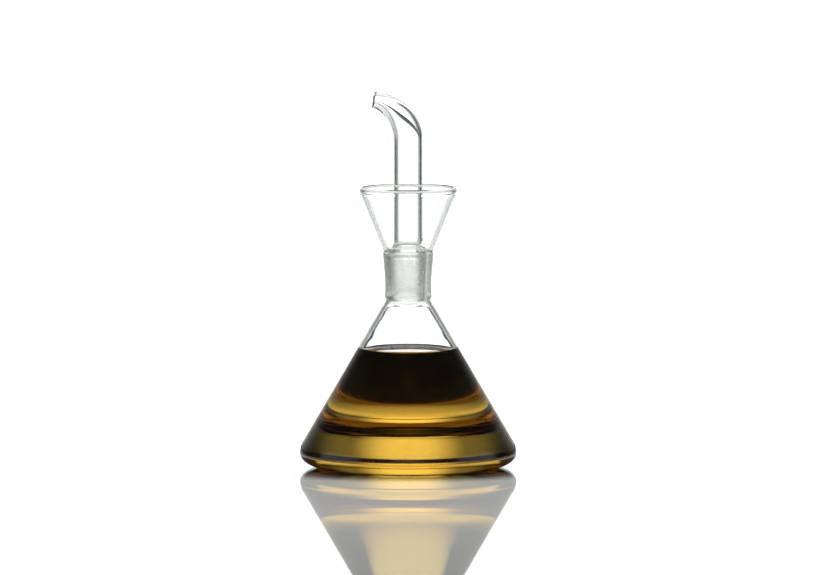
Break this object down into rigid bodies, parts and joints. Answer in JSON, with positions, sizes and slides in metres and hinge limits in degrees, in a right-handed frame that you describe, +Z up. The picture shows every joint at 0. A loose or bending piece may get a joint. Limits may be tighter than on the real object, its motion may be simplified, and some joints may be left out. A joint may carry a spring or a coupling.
{
  "type": "drip-return oil cruet",
  "caption": "Conical glass oil cruet with a ground socket, a drip funnel and a lift-out ground stopper with a bent pouring spout and a drip-return flute, part filled with oil.",
  "frame": {"origin": "centre of the flask's flat base, on the surface it stands on", "axes": "+Z up along the flask's axis, -X towards the spout's mouth, +X the side of the drip-return flute"},
  "size_m": [0.1092, 0.1092, 0.1891],
  "materials": {
    "clear_glass": "clear blown borosilicate glass, fire-polished",
    "ground_glass": "frosted, ground round the axis",
    "olive_oil": "clear golden liquid"
  },
  "bodies": {
    "flask": {"flask_body": "clear_glass", "neck_socket": "ground_glass", "drip_funnel": "clear_glass", "oil_fill": "olive_oil"},
    "stopper": {"stopper_plug": "ground_glass", "pouring_spout": "clear_glass"}
  },
  "joints": [
    {"name": "stopper_lift", "type": "slide", "parent": "flask", "child": "stopper", "axis": [0, 0, 1], "range_m": [0, 0.06]}
  ]
}
